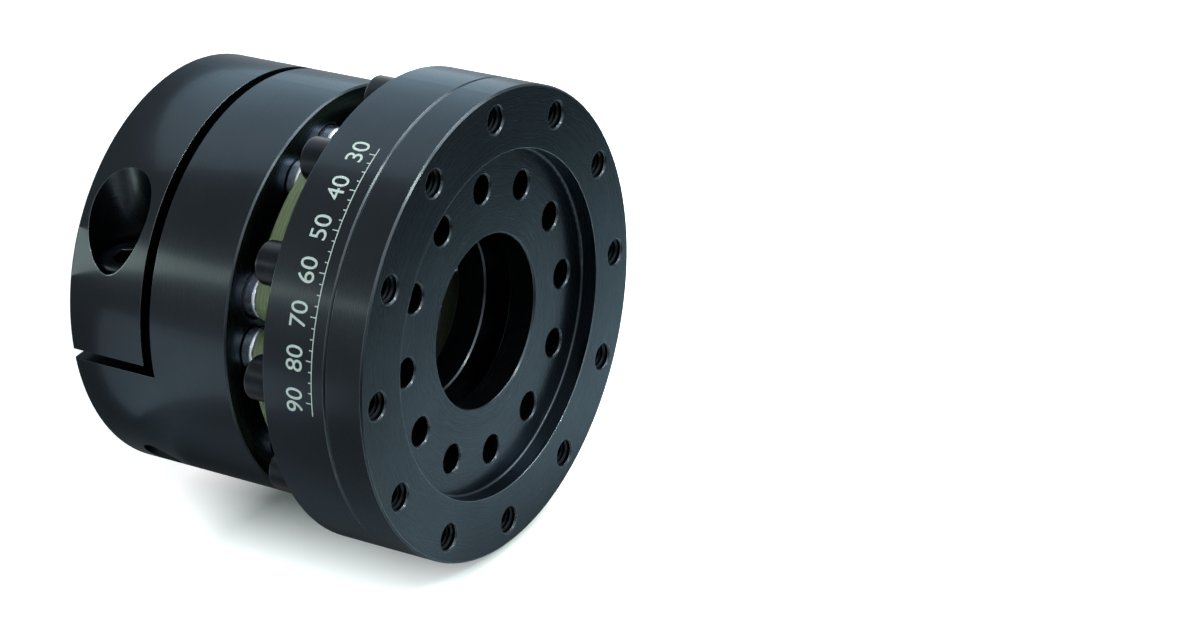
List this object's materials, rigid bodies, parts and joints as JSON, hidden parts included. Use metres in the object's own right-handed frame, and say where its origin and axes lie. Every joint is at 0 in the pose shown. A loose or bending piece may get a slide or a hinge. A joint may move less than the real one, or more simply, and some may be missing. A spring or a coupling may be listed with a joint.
{
  "type": "disc coupling",
  "caption": "Shaft coupling: a split clamp hub and a bolt-on flange adapter joined by open composite flex links clamped between steel collars.",
  "frame": {"origin": "centre of the hub's rear face, on which the coupling stands", "axes": "+Z along the shaft axis from the hub to the flange, +X through one flange screw, +Y a quarter turn on"},
  "size_m": [0.1084, 0.1084, 0.0838],
  "materials": {
    "black_anodised_hub": "satin black anodised",
    "black_anodised_ring": "satin black anodised",
    "black_anodised_plate": "satin black anodised",
    "black_steel_screws": "black oxide",
    "plated_steel_screws": "zinc plated",
    "plated_steel_collars": "turned and zinc plated",
    "glass_fibre_composite": "laminated glass fibre, sawn edges"
  },
  "bodies": {
    "root": {"clamp_hub": "black_anodised_hub", "clamp_screw": "black_steel_screws", "flex_link_1": "glass_fibre_composite", "flex_link_2": "glass_fibre_composite", "flex_link_3": "glass_fibre_composite", "flex_link_4": "glass_fibre_composite", "flex_link_5": "glass_fibre_composite", "flex_link_6": "glass_fibre_composite", "ring_link_screw_1": "plated_steel_screws", "ring_link_screw_2": "plated_steel_screws", "ring_link_screw_3": "plated_steel_screws", "ring_link_screw_4": "plated_steel_screws", "ring_link_screw_5": "plated_steel_screws", "ring_link_screw_6": "plated_steel_screws", "hub_link_screw_1": "plated_steel_screws", "hub_link_screw_2": "plated_steel_screws", "hub_link_screw_3": "plated_steel_screws", "hub_link_screw_4": "plated_steel_screws", "hub_link_screw_5": "plated_steel_screws", "hub_link_screw_6": "plated_steel_screws", "ring_seat_collars": "plated_steel_collars", "ring_head_collars": "plated_steel_collars", "hub_seat_collars": "plated_steel_collars", "hub_head_collars": "plated_steel_collars", "adapter_ring": "black_anodised_ring", "front_plate": "black_anodised_plate", "flange_screw_1": "black_steel_screws", "flange_screw_2": "black_steel_screws", "flange_screw_3": "black_steel_screws", "flange_screw_4": "black_steel_screws", "flange_screw_5": "black_steel_screws", "flange_screw_6": "black_steel_screws", "flange_screw_7": "black_steel_screws", "flange_screw_8": "black_steel_screws", "flange_screw_9": "black_steel_screws", "flange_screw_10": "black_steel_screws", "flange_screw_11": "black_steel_screws", "flange_screw_12": "black_steel_screws"}
  },
  "joints": []
}
